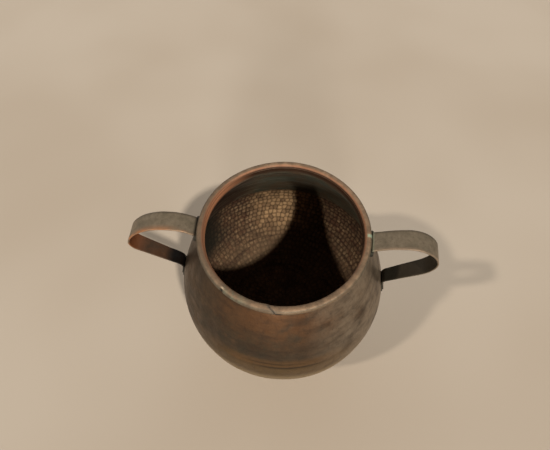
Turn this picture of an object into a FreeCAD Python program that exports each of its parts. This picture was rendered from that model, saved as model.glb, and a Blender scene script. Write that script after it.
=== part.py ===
import FreeCAD, Part

import math
import os

import Sketcher

# A two-handled raised copper pot. The origin is the centre of the flat underside, +Z is up, +X points
# towards the right handle and the seam in the rolled rim faces -Y. Lengths are millimetres, angles degrees.

doc = FreeCAD.newDocument("CopperPot")

# ---------------------------------------------------------------- driving dimensions

DIMENSIONS = {
    "gauge": 1.2,               # sheet thickness of the raised shell
    "rim_radius": 82.5,         # outside of the rolled rim
    "rim_height": 206.0,        # centre of the roll above the underside
    "roll_radius": 3.6,         # outside radius of the roll's section
    "curl_angle": -125.0,       # where the curled edge stops, seen in section from the roll's centre
    "wire_radius": 2.35,        # iron wire inside the roll
    "wire_break": 2.0,          # gap between the wire's butted ends, in degrees of the ring
    "neck_arc": 9.0,            # hollow between the upright neck and the shoulder
    "shoulder_arc": 261.0,      # nearly conical shoulder
    "shoulder_turn": 17.0,      # where the shoulder arc meets the belly arc, in degrees above the belly
    "belly_radius": 115.5,      # widest radius
    "belly_height": 96.0,       # height of the widest ring
    "belly_arc": 104.0,
    "base_arc": 12.0,           # rounding between the belly and the flat underside
    "seam_azimuth": -97.3,      # where the rolled sheet's ends meet
    "seam_width": 0.9,
    "nick_azimuth": -131.6,     # small tear in the outer lip
    "nick_width": 2.6,
    "nick_depth": 1.5,
    "strap_width": 21.5,        # of the blank; the taper leaves 19.6 at the rim and 13.2 at the foot's end
    "foot_width": 12.6,         # at the height where the taper ends
    "taper_top": 232.0,
    "taper_bottom": 110.0,
    "strap_gauge": 1.8,
    "strap_gap": 0.1,           # joint gap between a strap and the roll or the shell
    "foot_length": 16.0,
    "right_azimuth": -10.2,
    "right_drop": -0.8,         # strap's start, measured from the roll's centre
    "right_rise": 33.0,         # angle at which the strap leaves the rim
    "right_crest": 94.0,        # radius of the arc over the crest
    "right_bow": 27.9,          # radius of the outer bend
    "right_reach": 145.4,       # outermost radius of the strap's centreline
    "right_foot": 132.6,        # height of the foot's upper end
    "right_heel": 10.0,         # bend where the lower arm turns down onto the shoulder
    "left_azimuth": 178.0,
    "left_drop": -0.5,
    "left_rise": 38.8,
    "left_crest": 44.5,
    "left_bow": 15.0,
    "left_reach": 153.2,
    "left_foot": 127.0,
    "left_heel": 12.5,
    "strap_edge": 0.5,          # easing of the strap's long edges
    "bead_radius": 2.4,         # bead of filler under a strap's upper end
    "bead_offset": 0.6,         # bead's centre outside the rim
    "bead_bite": 0.3,           # bead's height above the strap's lower edge, before trimming
    "braze_overhang": 1.9,      # filler showing past a strap's sides and end
    "film_rise": 0.55,          # filler standing above the shoulder around a foot
    "film_depth": 1.0,          # blank's depth below the shoulder's surface, trimmed away
}

sizes = doc.addObject("Spreadsheet::Sheet", "Sizes")
for row, (alias, value) in enumerate(DIMENSIONS.items(), start=1):
    sizes.set(f"A{row}", alias)
    sizes.set(f"B{row}", str(value))
    sizes.setAlias(f"B{row}", alias)
doc.recompute()


def size(alias):
    """The number in the sheet."""
    return float(sizes.get(alias))


def cell(text):
    """An expression in which {alias} stands for a cell of the sheet."""
    return text.replace("{", "<<Sizes>>.").replace("}", "")


# Centres of the shell's arcs, as expressions and as numbers for the first placing of the geometry.
BELLY_X = "({belly_radius} - {belly_arc})"
SHOULDER_X = "(" + BELLY_X + " - ({shoulder_arc} - {belly_arc}) * cos({shoulder_turn}))"
SHOULDER_Z = "({belly_height} - ({shoulder_arc} - {belly_arc}) * sin({shoulder_turn}))"
NECK_X = "({rim_radius} - 2 * {roll_radius} + {gauge})"

belly_x = size("belly_radius") - size("belly_arc")
arc_step = size("shoulder_arc") - size("belly_arc")
shoulder_x = belly_x - arc_step * math.cos(math.radians(size("shoulder_turn")))
shoulder_z = size("belly_height") - arc_step * math.sin(math.radians(size("shoulder_turn")))
neck_x = size("rim_radius") - 2 * size("roll_radius") + size("gauge")


# ---------------------------------------------------------------- helpers

# Sketcher's names for places: geometry -1 is the horizontal axis and -2 the vertical one.
START, END, CENTRE = 1, 2, 3
X_AXIS, Y_AXIS = -1, -2


def vector(x, y):
    return FreeCAD.Vector(x, y, 0)


def polar(centre, radius, angle):
    """The point at an angle in radians on a circle about a centre."""
    return vector(centre.x + radius * math.cos(angle), centre.y + radius * math.sin(angle))


def arc(centre, radius, start, end):
    """An arc running anticlockwise between two angles in radians."""
    circle = Part.Circle(centre, FreeCAD.Vector(0, 0, 1), radius)
    return Part.ArcOfCircle(circle, start, end)


def new_body(name):
    body = doc.addObject("PartDesign::Body", name)
    body.Label = name
    return body


def new_sketch(body, name, role):
    """A sketch on one of its body's own origin planes."""
    plane = next(item for item in body.Origin.OriginFeatures if item.Role == role)
    sketch = body.newObject("Sketcher::SketchObject", name)
    sketch.AttachmentSupport = [(plane, "")]
    sketch.MapMode = "FlatFace"
    return sketch


def bind(sketch, kind, where, expression, value):
    """A driving constraint whose size comes from the sheet."""
    index = sketch.addConstraint(Sketcher.Constraint(kind, *where, value))
    sketch.setExpression(f"Constraints[{index}]", cell(expression))
    return index


def relate(sketch, kind, *where):
    sketch.addConstraint(Sketcher.Constraint(kind, *where))


def closed_outline(sketch, corners):
    """A closed loop of straight lines through the corners, each line starting at its corner."""
    count = len(corners)
    for number in range(count):
        sketch.addGeometry(Part.LineSegment(corners[number], corners[(number + 1) % count]), False)
    for number in range(count):
        relate(sketch, "Coincident", number, END, (number + 1) % count, START)


# ---------------------------------------------------------------- the raised shell

def wall_region(body, name, inset, inset_value):
    """The region between the axis and the shell's wall, moved inwards by an inset."""
    sketch = new_sketch(body, name, "XZ_Plane")
    base = size("base_arc") - inset_value
    belly = size("belly_arc") - inset_value
    shoulder = size("shoulder_arc") - inset_value
    neck = size("neck_arc") + inset_value
    belly_centre = vector(belly_x, size("belly_height"))
    shoulder_centre = vector(shoulder_x, shoulder_z)
    base_rise = belly_centre.y - size("base_arc")
    base_run = math.sqrt((size("belly_arc") - size("base_arc")) ** 2 - base_rise ** 2)
    base_centre = vector(belly_x + base_run, size("base_arc"))
    base_turn = -math.atan2(base_rise, base_run)
    neck_centre_x = neck_x + size("neck_arc")
    neck_turn = math.acos((neck_centre_x - shoulder_x) / (size("shoulder_arc") + size("neck_arc")))
    neck_centre = polar(shoulder_centre, size("shoulder_arc") + size("neck_arc"), neck_turn)
    turn = math.radians(size("shoulder_turn"))
    wall = neck_x - inset_value
    top = size("rim_height")

    floor_line, base_curve, belly_curve, shoulder_curve, neck_curve, neck_line, top_line, axis_line = range(8)
    sketch.addGeometry([
        Part.LineSegment(vector(0, inset_value), vector(base_centre.x, inset_value)),
        arc(base_centre, base, -math.pi / 2, base_turn),
        arc(belly_centre, belly, base_turn, turn),
        arc(shoulder_centre, shoulder, turn, neck_turn),
        arc(neck_centre, neck, math.pi, math.pi + neck_turn),
        Part.LineSegment(vector(wall, neck_centre.y), vector(wall, top)),
        Part.LineSegment(vector(wall, top), vector(0, top)),
        Part.LineSegment(vector(0, top), vector(0, inset_value)),
    ], False)

    relate(sketch, "PointOnObject", floor_line, START, Y_AXIS)
    relate(sketch, "Horizontal", floor_line)
    relate(sketch, "Tangent", floor_line, END, base_curve, START)
    relate(sketch, "Tangent", base_curve, END, belly_curve, START)
    relate(sketch, "Tangent", belly_curve, END, shoulder_curve, START)
    relate(sketch, "Tangent", shoulder_curve, END, neck_curve, END)
    relate(sketch, "Tangent", neck_curve, START, neck_line, START)
    relate(sketch, "Vertical", neck_line)
    relate(sketch, "Coincident", neck_line, END, top_line, START)
    relate(sketch, "Horizontal", top_line)
    relate(sketch, "PointOnObject", top_line, END, Y_AXIS)
    relate(sketch, "Coincident", top_line, END, axis_line, START)
    relate(sketch, "Coincident", axis_line, END, floor_line, START)
    bind(sketch, "Radius", (base_curve,), "{base_arc} - " + inset, base)
    bind(sketch, "Radius", (belly_curve,), "{belly_arc} - " + inset, belly)
    bind(sketch, "Radius", (shoulder_curve,), "{shoulder_arc} - " + inset, shoulder)
    bind(sketch, "Radius", (neck_curve,), "{neck_arc} + " + inset, neck)
    bind(sketch, "DistanceX", (Y_AXIS, START, belly_curve, CENTRE), BELLY_X, belly_x)
    bind(sketch, "DistanceY", (X_AXIS, START, belly_curve, CENTRE), "{belly_height}", belly_centre.y)
    bind(sketch, "DistanceX", (shoulder_curve, CENTRE, Y_AXIS, START), "-" + SHOULDER_X, -shoulder_x)
    bind(sketch, "DistanceX", (Y_AXIS, START, neck_line, START), NECK_X + " - " + inset, wall)
    bind(sketch, "DistanceY", (X_AXIS, START, neck_line, END), "{rim_height}", top)
    if inset_value:
        bind(sketch, "DistanceY", (X_AXIS, START, floor_line, START), inset, inset_value)
    else:
        relate(sketch, "PointOnObject", floor_line, END, X_AXIS)
    return sketch


def roll_region(body, name):
    """The C-shaped section of sheet curled outwards over the wire."""
    sketch = new_sketch(body, name, "XZ_Plane")
    centre = vector(size("rim_radius") - size("roll_radius"), size("rim_height"))
    outer = size("roll_radius")
    inner = outer - size("gauge")
    curl_end = math.radians(size("curl_angle"))
    outer_curve, inner_curve, neck_end, curled_end = range(4)
    sketch.addGeometry([
        arc(centre, outer, curl_end, math.pi),
        arc(centre, inner, curl_end, math.pi),
        Part.LineSegment(polar(centre, outer, math.pi), polar(centre, inner, math.pi)),
        Part.LineSegment(polar(centre, inner, curl_end), polar(centre, outer, curl_end)),
    ], False)
    relate(sketch, "Coincident", outer_curve, CENTRE, inner_curve, CENTRE)
    relate(sketch, "Coincident", outer_curve, END, neck_end, START)
    relate(sketch, "Coincident", inner_curve, END, neck_end, END)
    relate(sketch, "Coincident", outer_curve, START, curled_end, END)
    relate(sketch, "Coincident", inner_curve, START, curled_end, START)
    relate(sketch, "Horizontal", neck_end)
    relate(sketch, "PointOnObject", outer_curve, CENTRE, neck_end)
    relate(sketch, "PointOnObject", outer_curve, CENTRE, curled_end)
    bind(sketch, "Radius", (outer_curve,), "{roll_radius}", outer)
    bind(sketch, "Radius", (inner_curve,), "{roll_radius} - {gauge}", inner)
    bind(sketch, "DistanceX", (Y_AXIS, START, outer_curve, CENTRE), "{rim_radius} - {roll_radius}", centre.x)
    bind(sketch, "DistanceY", (X_AXIS, START, outer_curve, CENTRE), "{rim_height}", centre.y)
    bind(sketch, "Angle", (curled_end,), "{curl_angle}", curl_end)
    return sketch


def turned(body, kind, name, sketch):
    """A revolution or groove of a sketch about its vertical axis."""
    feature = body.newObject(kind, name)
    feature.Profile = sketch
    feature.ReferenceAxis = (sketch, ["V_Axis"])
    feature.Angle = 360
    doc.recompute()
    return feature


def rim_cut(body, name, azimuth, width, width_value, start, start_value):
    """A cut through the top of the roll, from a radius outwards, at an azimuth."""
    sketch = new_sketch(body, name + "_outline", "XY_Plane")
    half = width_value / 2
    stop = size("rim_radius") + size("roll_radius")
    corners = [vector(start_value, -half), vector(stop, -half), vector(stop, half), vector(start_value, half)]
    closed_outline(sketch, corners)
    first, far, second, near = range(4)
    relate(sketch, "Horizontal", first)
    relate(sketch, "Vertical", far)
    relate(sketch, "Horizontal", second)
    relate(sketch, "Symmetric", near, START, near, END, X_AXIS)
    bind(sketch, "DistanceY", (near, END, near, START), width, width_value)
    bind(sketch, "DistanceX", (Y_AXIS, START, near, START), start, start_value)
    bind(sketch, "DistanceX", (first, START, first, END), "{rim_radius} + {roll_radius} - " + start,
         stop - start_value)
    sketch.setExpression("AttachmentOffset.Base.z", cell("{rim_height} + {roll_radius}"))
    sketch.setExpression("AttachmentOffset.Rotation.Angle", cell(azimuth))
    cut = body.newObject("PartDesign::Pocket", name)
    cut.Profile = sketch
    cut.Type = "Length"
    cut.setExpression("Length", cell("2 * {roll_radius}"))
    doc.recompute()
    return cut


bowl_body = new_body("bowl_body")
outside = turned(bowl_body, "PartDesign::Revolution", "raised_outside",
                 wall_region(bowl_body, "outside_outline", "0", 0.0))
hollow = turned(bowl_body, "PartDesign::Groove", "raised_hollow",
                wall_region(bowl_body, "inside_outline", "{gauge}", size("gauge")))
roll = turned(bowl_body, "PartDesign::Revolution", "rolled_rim", roll_region(bowl_body, "roll_outline"))
seam = rim_cut(bowl_body, "rim_seam", "{seam_azimuth}", "{seam_width}", size("seam_width"),
               NECK_X + " + {gauge} / 2", neck_x + size("gauge") / 2)
nick = rim_cut(bowl_body, "rim_nick", "{nick_azimuth}", "{nick_width}", size("nick_width"),
               "({rim_radius} - {nick_depth})", size("rim_radius") - size("nick_depth"))
bowl_body.Tip = nick
doc.recompute()


# ---------------------------------------------------------------- the wire in the roll

rim_wire = doc.addObject("Part::Torus", "rim_wire")
rim_wire.Label = "rim_wire"
rim_wire.setExpression("Radius1", cell("{rim_radius} - {roll_radius}"))
rim_wire.setExpression("Radius2", cell("{wire_radius}"))
rim_wire.setExpression("Angle3", cell("360 - {wire_break}"))
rim_wire.setExpression("Placement.Base.z", cell("{rim_height}"))
rim_wire.setExpression("Placement.Rotation.Angle", cell("{seam_azimuth} + {wire_break} / 2"))


# ---------------------------------------------------------------- strap handles

def foot_place(side):
    """Where a strap's foot starts: the lean of the shoulder there and the centreline's radius."""
    middle = size(side + "_foot") - size("foot_length") / 2
    lean = math.asin((middle - shoulder_z) / size("shoulder_arc"))
    offset = size("shoulder_arc") + size("strap_gap") + size("strap_gauge") / 2
    start_x = shoulder_x + offset * math.cos(lean) - size("foot_length") / 2 * math.sin(lean)
    start_z = shoulder_z + offset * math.sin(lean) + size("foot_length") / 2 * math.cos(lean)
    return lean, start_x, start_z


def foot_lean(side):
    """The lean of the shoulder under a foot's middle, as an expression."""
    return "asin(({%s_foot} - {foot_length} / 2 - %s) / {shoulder_arc})" % (side, SHOULDER_Z)


def strap_start(side):
    """The radius where a centreline starts, with the strap's end just clear of the roll."""
    return "{rim_radius} + {strap_gap} + {strap_gauge} / 2 * sin({%s_rise})" % side


def strap_path(body, side):
    """The strap's centreline in its own upright plane: crest, bow, straight arm, heel and foot."""
    sketch = new_sketch(body, side + "_centreline", "XZ_Plane")
    crest = size(side + "_crest")
    bow = size(side + "_bow")
    heel = size(side + "_heel")
    rise = math.radians(size(side + "_rise"))
    lean, foot_x, foot_z = foot_place(side)
    start = vector(size("rim_radius") + size("strap_gap") + size("strap_gauge") / 2 * math.sin(rise),
                   size("rim_height") + size(side + "_drop"))
    crest_centre = polar(start, crest, rise - math.pi / 2)
    bow_x = size(side + "_reach") - bow
    bow_z = crest_centre.y + math.sqrt((crest - bow) ** 2 - (bow_x - crest_centre.x) ** 2)
    bow_centre = vector(bow_x, bow_z)
    crest_turn = math.atan2(bow_z - crest_centre.y, bow_x - crest_centre.x)
    foot_start = vector(foot_x, foot_z)
    heel_centre = polar(foot_start, heel, lean)
    apart = heel_centre.sub(bow_centre)
    arm_length = math.sqrt(apart.Length ** 2 - (bow + heel) ** 2)
    arm_angle = math.atan2(apart.y, apart.x) - math.atan2(bow + heel, arm_length)
    arm_start = polar(bow_centre, bow, arm_angle + math.pi / 2)
    arm_end = polar(heel_centre, heel, arm_angle - math.pi / 2)
    foot_end = polar(foot_start, size("foot_length"), lean - math.pi / 2)

    crest_curve, bow_curve, arm, heel_curve, foot = range(5)
    sketch.addGeometry([
        arc(crest_centre, crest, crest_turn, rise + math.pi / 2),
        arc(bow_centre, bow, arm_angle + math.pi / 2, crest_turn),
        Part.LineSegment(arm_start, arm_end),
        arc(heel_centre, heel, arm_angle - math.pi / 2, lean + math.pi),
        Part.LineSegment(foot_start, foot_end),
    ], False)
    relate(sketch, "Tangent", crest_curve, START, bow_curve, END)
    relate(sketch, "Tangent", bow_curve, START, arm, START)
    relate(sketch, "Tangent", arm, END, heel_curve, START)
    relate(sketch, "Tangent", heel_curve, END, foot, START)
    bind(sketch, "Radius", (crest_curve,), "{%s_crest}" % side, crest)
    bind(sketch, "Radius", (bow_curve,), "{%s_bow}" % side, bow)
    bind(sketch, "Radius", (heel_curve,), "{%s_heel}" % side, heel)
    bind(sketch, "DistanceX", (Y_AXIS, START, crest_curve, END), strap_start(side), start.x)
    bind(sketch, "DistanceY", (X_AXIS, START, crest_curve, END), "{rim_height} + {%s_drop}" % side, start.y)
    bind(sketch, "DistanceX", (crest_curve, END, crest_curve, CENTRE),
         "{%s_crest} * sin({%s_rise})" % (side, side), crest_centre.x - start.x)
    bind(sketch, "DistanceX", (Y_AXIS, START, bow_curve, CENTRE),
         "{%s_reach} - {%s_bow}" % (side, side), bow_x)
    bind(sketch, "Distance", (foot,), "{foot_length}", size("foot_length"))
    offset = "({shoulder_arc} + {strap_gap} + {strap_gauge} / 2)"
    turn = foot_lean(side)
    bind(sketch, "DistanceX", (Y_AXIS, START, foot, START),
         f"{SHOULDER_X} + {offset} * cos({turn}) - {{foot_length}} / 2 * sin({turn})", foot_x)
    bind(sketch, "DistanceY", (X_AXIS, START, foot, START),
         f"{SHOULDER_Z} + {offset} * sin({turn}) + {{foot_length}} / 2 * cos({turn})", foot_z)
    bind(sketch, "DistanceX", (foot, START, foot, END), "{foot_length} * sin(%s)" % turn, foot_end.x - foot_x)
    return sketch


def strap_section(body, side):
    """The strap's rectangular section, square to the start of its centreline."""
    sketch = new_sketch(body, side + "_section", "YZ_Plane")
    rise = size(side + "_rise")
    sketch.AttachmentOffset = FreeCAD.Placement(vector(0, 0), FreeCAD.Rotation(vector(1, 0), -rise))
    sketch.setExpression("AttachmentOffset.Rotation.Angle", cell("-{%s_rise}" % side))
    sketch.setExpression("AttachmentOffset.Base.y", cell("{rim_height} + {%s_drop}" % side))
    sketch.setExpression("AttachmentOffset.Base.z", cell(strap_start(side)))
    wide = size("strap_width") / 2
    thick = size("strap_gauge") / 2
    corners = [vector(-wide, -thick), vector(wide, -thick), vector(wide, thick), vector(-wide, thick)]
    closed_outline(sketch, corners)
    lower, right, upper = range(3)
    relate(sketch, "Horizontal", lower)
    relate(sketch, "Horizontal", upper)
    relate(sketch, "Vertical", right)
    relate(sketch, "Symmetric", lower, START, upper, START, X_AXIS, START)
    bind(sketch, "DistanceX", (lower, START, lower, END), "{strap_width}", 2 * wide)
    bind(sketch, "DistanceY", (right, START, right, END), "{strap_gauge}", 2 * thick)
    return sketch


def taper_cut(body, name, hand):
    """A cut along one side of a strap, hand 1 or -1, that narrows it on its way down to the foot."""
    sketch = new_sketch(body, name + "_outline", "YZ_Plane")
    wide = size("strap_width") / 2
    narrow = size("foot_width") / 2
    clear = wide + size("strap_gauge")
    top = size("taper_top")
    bottom = size("taper_bottom")
    closed_outline(sketch, [vector(hand * wide, top), vector(hand * narrow, bottom),
                            vector(hand * clear, bottom), vector(hand * clear, top)])
    slope, low, far, high = range(4)
    relate(sketch, "Horizontal", low)
    relate(sketch, "Vertical", far)
    relate(sketch, "Horizontal", high)
    bind(sketch, "DistanceY", (X_AXIS, START, slope, START), "{taper_top}", top)
    bind(sketch, "DistanceY", (X_AXIS, START, slope, END), "{taper_bottom}", bottom)
    for line, end, expression, value in (
        (slope, START, "{strap_width} / 2", wide),
        (slope, END, "{foot_width} / 2", narrow),
        (far, START, "{strap_width} / 2 + {strap_gauge}", clear),
    ):
        where = (Y_AXIS, START, line, end) if hand > 0 else (line, end, Y_AXIS, START)
        bind(sketch, "DistanceX", where, expression, value)
    cut = body.newObject("PartDesign::Pocket", name)
    cut.Profile = sketch
    cut.Type = "ThroughAll"
    cut.Midplane = True
    doc.recompute()
    return cut


def strap(side):
    """A hand-forged strap handle: the section swept along the centreline, tapered, its long edges eased."""
    body = new_body("handle_" + side)
    path = strap_path(body, side)
    section = strap_section(body, side)
    doc.recompute()
    sweep = body.newObject("PartDesign::AdditivePipe", side + "_sweep")
    sweep.Profile = section
    sweep.Spine = path
    sweep.Mode = "Standard"
    doc.recompute()
    taper_cut(body, side + "_taper_left", 1)
    narrowed = taper_cut(body, side + "_taper_right", -1)
    narrowest = size("foot_width") / 2
    long_edges = [
        f"Edge{number}"
        for number, edge in enumerate(narrowed.Shape.Edges, start=1)
        if abs(edge.CenterOfMass.y) > narrowest and edge.Length > 2 * size("strap_gauge")
    ]
    eased = body.newObject("PartDesign::Fillet", side + "_eased_edges")
    eased.Base = (narrowed, long_edges)
    eased.setExpression("Radius", cell("{strap_edge}"))
    body.Tip = eased
    body.setExpression("Placement.Rotation.Angle", cell("{%s_azimuth}" % side))
    doc.recompute()
    if not eased.Shape.Volume < narrowed.Shape.Volume < sweep.Shape.Volume:
        raise RuntimeError(f"a taper or an edge of handle_{side} was not cut")
    return body


handle_right = strap("right")
handle_left = strap("left")


# ---------------------------------------------------------------- brazed joints

def trimmed(name, blank, handle):
    """A blank of filler metal with the shell and the strap taken away from it."""
    beside_shell = doc.addObject("Part::Cut", name + "_beside_shell")
    beside_shell.Base = blank
    beside_shell.Tool = bowl_body
    filler = doc.addObject("Part::Cut", name)
    filler.Base = beside_shell
    filler.Tool = handle
    filler.Label = name
    doc.recompute()
    return filler


def upper_braze(side, handle):
    """The bead under a strap's upper end, following the roll."""
    blank = doc.addObject("Part::Torus", f"bead_{side}_blank")
    sweep = "({strap_width} + 2 * {braze_overhang}) / {rim_radius} * 180 / pi"
    blank.setExpression("Radius1", cell("{rim_radius} + {bead_offset}"))
    blank.setExpression("Radius2", cell("{bead_radius}"))
    blank.setExpression("Angle3", cell(sweep))
    under = "{rim_height} + {%s_drop} - {strap_gauge} / 2 * cos({%s_rise})" % (side, side)
    blank.setExpression("Placement.Base.z", cell(under + " - {bead_radius} + {bead_bite}"))
    blank.setExpression("Placement.Rotation.Angle", cell("{%s_azimuth} - %s / 2" % (side, sweep)))
    return trimmed(f"braze_{side}_upper", blank, handle)


def lower_braze(side, handle):
    """The film of filler between a foot and the shoulder, showing all round the foot."""
    body = new_body(f"film_{side}_blank")
    sketch = new_sketch(body, f"film_{side}_outline", "XZ_Plane")
    lean, foot_x, foot_z = foot_place(side)
    sunk = size("strap_gap") + size("strap_gauge") / 2 + size("film_depth")
    length = size("foot_length") + size("braze_overhang")
    thickness = size("film_depth") + size("film_rise")
    corner = polar(vector(foot_x, foot_z), sunk, lean + math.pi)
    below = polar(corner, length, lean - math.pi / 2)
    closed_outline(sketch, [corner, below, polar(below, thickness, lean), polar(corner, thickness, lean)])
    inner, bottom, outer, top = range(4)
    turn = foot_lean(side)
    depth = "({strap_gap} + {strap_gauge} / 2 + {film_depth})"
    reach = "({shoulder_arc} + {strap_gap} + {strap_gauge} / 2)"
    along = "({foot_length} + {braze_overhang})"
    relate(sketch, "Perpendicular", inner, bottom)
    relate(sketch, "Parallel", inner, outer)
    relate(sketch, "Parallel", bottom, top)
    bind(sketch, "DistanceX", (Y_AXIS, START, inner, START),
         f"{SHOULDER_X} + ({reach} - {depth}) * cos({turn}) - {{foot_length}} / 2 * sin({turn})", corner.x)
    bind(sketch, "DistanceY", (X_AXIS, START, inner, START),
         f"{SHOULDER_Z} + ({reach} - {depth}) * sin({turn}) + {{foot_length}} / 2 * cos({turn})", corner.y)
    bind(sketch, "DistanceX", (inner, START, inner, END), f"{along} * sin({turn})", below.x - corner.x)
    bind(sketch, "Distance", (inner,), along, length)
    bind(sketch, "Distance", (bottom,), "{film_depth} + {film_rise}", thickness)
    pad = body.newObject("PartDesign::Pad", f"film_{side}_pad")
    pad.Profile = sketch
    pad.Midplane = True
    pad.setExpression("Length", cell("{foot_width} + 2 * {braze_overhang}"))
    body.Tip = pad
    body.setExpression("Placement.Rotation.Angle", cell("{%s_azimuth}" % side))
    return trimmed(f"braze_{side}_lower", body, handle)


parts = [bowl_body, rim_wire, handle_right, handle_left]
for side_name, handle in (("right", handle_right), ("left", handle_left)):
    parts.append(upper_braze(side_name, handle))
    parts.append(lower_braze(side_name, handle))
doc.recompute()


# ---------------------------------------------------------------- checks and files

for item in doc.Objects:
    if "Invalid" in item.State or "Error" in item.State:
        raise RuntimeError(f"{item.Name}: {item.State}")
filled, hollowed, rimmed, slit, nicked = (
    feature.Shape.Volume for feature in (outside, hollow, roll, seam, nick))
if not (filled > hollowed and hollowed < rimmed and rimmed > slit > nicked):
    raise RuntimeError("a groove or pocket of the shell cut nothing")
for item in parts:
    if item.Shape.isNull() or not item.Shape.isValid() or len(item.Shape.Solids) != 1:
        raise RuntimeError(f"{item.Label} is not one valid solid")

os.makedirs("parts", exist_ok=True)
for item in parts:
    item.Shape.exportStep(f"parts/{item.Label}.step")
    box = item.Shape.BoundBox
    print(f"{item.Label}: {item.Shape.Volume / 1000:.2f} cm3, "
          f"{box.XLength:.1f} x {box.YLength:.1f} x {box.ZLength:.1f} mm, top {box.ZMax:.1f}")
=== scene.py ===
import math

import bpy
import numpy as np
from mathutils import Matrix, Vector


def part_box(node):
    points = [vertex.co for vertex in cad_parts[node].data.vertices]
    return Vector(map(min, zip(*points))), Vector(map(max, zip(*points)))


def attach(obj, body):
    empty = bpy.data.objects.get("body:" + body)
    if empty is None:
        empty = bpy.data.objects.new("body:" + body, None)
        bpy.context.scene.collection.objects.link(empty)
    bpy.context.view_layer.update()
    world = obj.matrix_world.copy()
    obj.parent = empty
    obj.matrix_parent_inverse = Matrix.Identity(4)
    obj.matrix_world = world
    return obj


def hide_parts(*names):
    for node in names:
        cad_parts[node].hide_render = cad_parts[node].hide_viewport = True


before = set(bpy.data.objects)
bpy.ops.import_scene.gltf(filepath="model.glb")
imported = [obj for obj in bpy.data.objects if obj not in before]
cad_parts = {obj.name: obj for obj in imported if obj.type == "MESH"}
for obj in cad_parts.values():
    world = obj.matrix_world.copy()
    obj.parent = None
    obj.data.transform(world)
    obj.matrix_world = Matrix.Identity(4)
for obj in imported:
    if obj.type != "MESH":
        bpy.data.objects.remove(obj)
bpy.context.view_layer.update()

# Lengths are metres. The pot stands on z = 0, its axis is the z axis, and azimuths run from +X towards +Y.
MM = 0.001

# ---------------------------------------------------------------- sizes shared with the frame

body_low, body_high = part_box("bowl_body")
wire_low, wire_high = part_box("rim_wire")

BELLY_RADIUS = round((body_high.x - body_low.x) / 2, 4)
RIM_HEIGHT = (wire_low.z + wire_high.z) / 2
ROLL_RADIUS = body_high.z - RIM_HEIGHT
GAUGE = 1.2 * MM
WIRE_RADIUS = (wire_high.z - wire_low.z) / 2
ROLL_CENTRE = wire_high.x - WIRE_RADIUS
RIM_RADIUS = ROLL_CENTRE + ROLL_RADIUS
NECK_RADIUS = ROLL_CENTRE - ROLL_RADIUS + GAUGE

# The wall, from the base up: arcs for the base's corner, the belly, the shoulder and the neck.
BELLY_HEIGHT = 96 * MM
BELLY_ARC = 104 * MM
SHOULDER_ARC = 261 * MM
SHOULDER_TURN = math.radians(17)
NECK_ARC = 9 * MM
BASE_ARC = 12 * MM

# The roll: where its sheet ends, and its seam, a slit that opens the curl from the sheet's edge to SLIT_TURN.
CURL_ANGLE = math.radians(-125)
SEAM = math.radians(-97.3)
SEAM_WIDTH = 0.9 * MM
SLIT_TURN = math.radians(118)
NICK = math.radians(-131.6)

# Hammer marks: close ones inside, up to HAMMER_TOP, and broad shallow ones outside.
HAMMER_TOP = 123 * MM
INSIDE_MARKS = {"pitch": 7.6 * MM, "spacing": 6 * MM, "seed": 11}
OUTSIDE_MARKS = {"pitch": 10 * MM, "spacing": 10 * MM, "seed": 12}
STRAY_ALONG, STRAY_ACROSS = 0.30, 0.19
MARK_SQUASH = 1.15

# Two faint rings scored into the front of the belly, with their middle and reach in degrees.
SCORED_RINGS = (
    {"height": 127 * MM, "middle": -88, "reach": 20, "strength": 1.0},
    {"height": 133 * MM, "middle": -96, "reach": 15, "strength": 0.7},
)

# Painted shade in the gaps under the outer lip: azimuth and half width, in degrees.
LIP_GAP_SHADES = ((-93.9, 2.6), (-17, 1.4))

# The straps grow from FOOT_WIDTH at the height TAPER_BOTTOM towards STRAP_WIDTH at TAPER_TOP.
STRAP_WIDTH = 21.5 * MM
FOOT_WIDTH = 12.6 * MM
TAPER_TOP = 232 * MM
TAPER_BOTTOM = 110 * MM
STRAP_GAUGE = 1.8 * MM
STRAP_GAP = 0.1 * MM
FOOT_LENGTH = 16 * MM

# Each strap, in degrees (azimuth, rise) and millimetres: the height of its start from the rim's, the radii
# of its crest, outer bow and heel, its farthest reach from the axis and the height of its foot's top.
STRAPS = {
    "right": {"azimuth": -10.2, "rise": 33, "drop": -0.8, "crest": 94, "bow": 27.9, "heel": 10,
              "reach": 145.4, "foot": 132.6},
    "left": {"azimuth": 178, "rise": 38.8, "drop": -0.5, "crest": 44.5, "bow": 15, "heel": 12.5,
             "reach": 153.2, "foot": 127},
}

# The camera: a little left of the axis and in front of it, looking down into the pot. Angles are radians.
CAMERA_PLACE = (-0.1 * RIM_RADIUS, -170.13 * MM, 488.31 * MM)
CAMERA_PITCH = 1.01792
CAMERA_ROLL = -0.00701
CAMERA_SENSOR = 36
CAMERA_LENS = 22.84

# Lamps shine towards their azimuth, down at their elevation. Both are degrees, and so is the softness.
LAMPS = {
    "key": {"azimuth": 121.7, "elevation": 52.4, "strength": 3.0, "softness": 3, "tint": (1.0, 0.95, 0.88)},
    "second": {"azimuth": 20.6, "elevation": 46.1, "strength": 1.5, "softness": 3, "tint": (1.0, 0.93, 0.84)},
    "low": {"azimuth": 88, "elevation": 18, "strength": 1.3, "softness": 11, "tint": (0.96, 0.98, 1.0)},
}
ROOM_COLOUR = (0.95, 0.97, 1.0, 1)
WALL_COLOUR = (0.72, 0.70, 0.66, 1)
FLOOR_HALF = 2.5

AROUND_COLUMNS = 640
NOISE_ROWS = 512
STRAP_SEED = 50


# ---------------------------------------------------------------- smooth noise and hammer marks

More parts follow.
